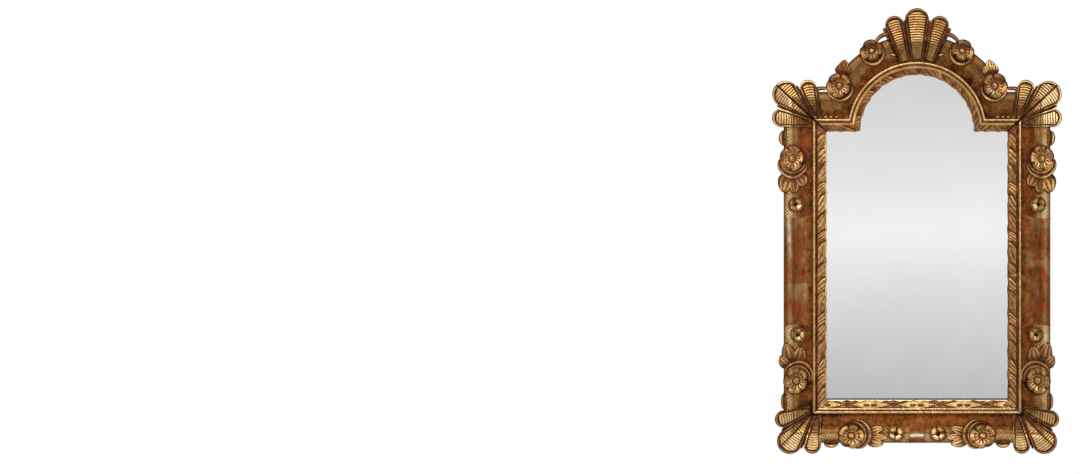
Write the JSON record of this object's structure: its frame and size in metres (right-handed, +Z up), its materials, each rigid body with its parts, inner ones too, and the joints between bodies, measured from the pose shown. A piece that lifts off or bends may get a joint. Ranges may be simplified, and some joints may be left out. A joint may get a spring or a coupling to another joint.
{
  "type": "pier mirror",
  "caption": "Arched wall mirror in a carved and gilded wooden frame, with shells at the crest and corners, flowers and leaves between them, and swinging hanging rings behind.",
  "frame": {"origin": "middle of the bottom rail's back face, on the plane of the wall", "axes": "+Z up, +Y into the wall so the front faces -Y, +X to the right of a viewer at the front"},
  "size_m": [0.653, 0.0699, 1.0032],
  "materials": {
    "gilt_frame": "worn gold leaf over red bole on carved wood",
    "gilt_carving": "worn gold leaf over red bole, brighter on the high places",
    "looking_glass": "silvered flat glass",
    "back_wood": "bare dark softwood",
    "hanger_iron": "dull dark steel"
  },
  "bodies": {
    "frame": {"arch_rail": "gilt_frame", "arch_sight_moulding": "gilt_carving", "backboard": "back_wood", "bottom_rail": "gilt_frame", "bottom_sight_moulding": "gilt_carving", "crest_shell": "gilt_carving", "left_arch_lower_flower": "gilt_carving", "left_arch_lower_leaf": "gilt_carving", "left_arch_upper_flower": "gilt_carving", "left_bottom_bud": "gilt_carving", "left_bottom_flower": "gilt_carving", "left_bottom_leaf": "gilt_carving", "left_bottom_scroll": "gilt_carving", "left_lower_hanger_screw": "hanger_iron", "left_setting_block": "back_wood", "left_sight_moulding": "gilt_carving", "left_stile": "gilt_frame", "left_stile_lower_bud": "gilt_carving", "left_stile_lower_flower": "gilt_carving", "left_stile_lower_leaf": "gilt_carving", "left_stile_lower_scroll": "gilt_carving", "left_stile_upper_bud": "gilt_carving", "left_stile_upper_flower": "gilt_carving", "left_stile_upper_leaf": "gilt_carving", "left_stile_upper_scroll": "gilt_carving", "left_strap_hanger": "hanger_iron", "left_upper_hanger_screw": "hanger_iron", "lower_left_corner_shell_rail": "gilt_carving", "lower_left_corner_shell_stile": "gilt_carving", "lower_right_corner_shell_rail": "gilt_carving", "lower_right_corner_shell_stile": "gilt_carving", "mirror_glass": "looking_glass", "right_arch_lower_flower": "gilt_carving", "right_arch_lower_leaf": "gilt_carving", "right_arch_upper_flower": "gilt_carving", "right_bottom_bud": "gilt_carving", "right_bottom_flower": "gilt_carving", "right_bottom_leaf": "gilt_carving", "right_bottom_scroll": "gilt_carving", "right_lower_hanger_screw": "hanger_iron", "right_setting_block": "back_wood", "right_sight_moulding": "gilt_carving", "right_stile": "gilt_frame", "right_stile_lower_bud": "gilt_carving", "right_stile_lower_flower": "gilt_carving", "right_stile_lower_leaf": "gilt_carving", "right_stile_lower_scroll": "gilt_carving", "right_stile_upper_bud": "gilt_carving", "right_stile_upper_flower": "gilt_carving", "right_stile_upper_leaf": "gilt_carving", "right_stile_upper_scroll": "gilt_carving", "right_strap_hanger": "hanger_iron", "right_upper_hanger_screw": "hanger_iron", "upper_left_corner_shell_rail": "gilt_carving", "upper_left_corner_shell_stile": "gilt_carving", "upper_right_corner_shell_rail": "gilt_carving", "upper_right_corner_shell_stile": "gilt_carving"},
    "left_ring": {"left_hanging_ring": "hanger_iron"},
    "right_ring": {"right_hanging_ring": "hanger_iron"}
  },
  "joints": [
    {"name": "left_ring_swing", "type": "hinge", "parent": "frame", "child": "left_ring", "pos_m": [-0.256, 0.0041, 0.596], "axis": [1, 0, 0], "range_deg": [0, 170]},
    {"name": "right_ring_swing", "type": "hinge", "parent": "frame", "child": "right_ring", "pos_m": [0.256, 0.0041, 0.596], "axis": [1, 0, 0], "range_deg": [0, 170]}
  ]
}
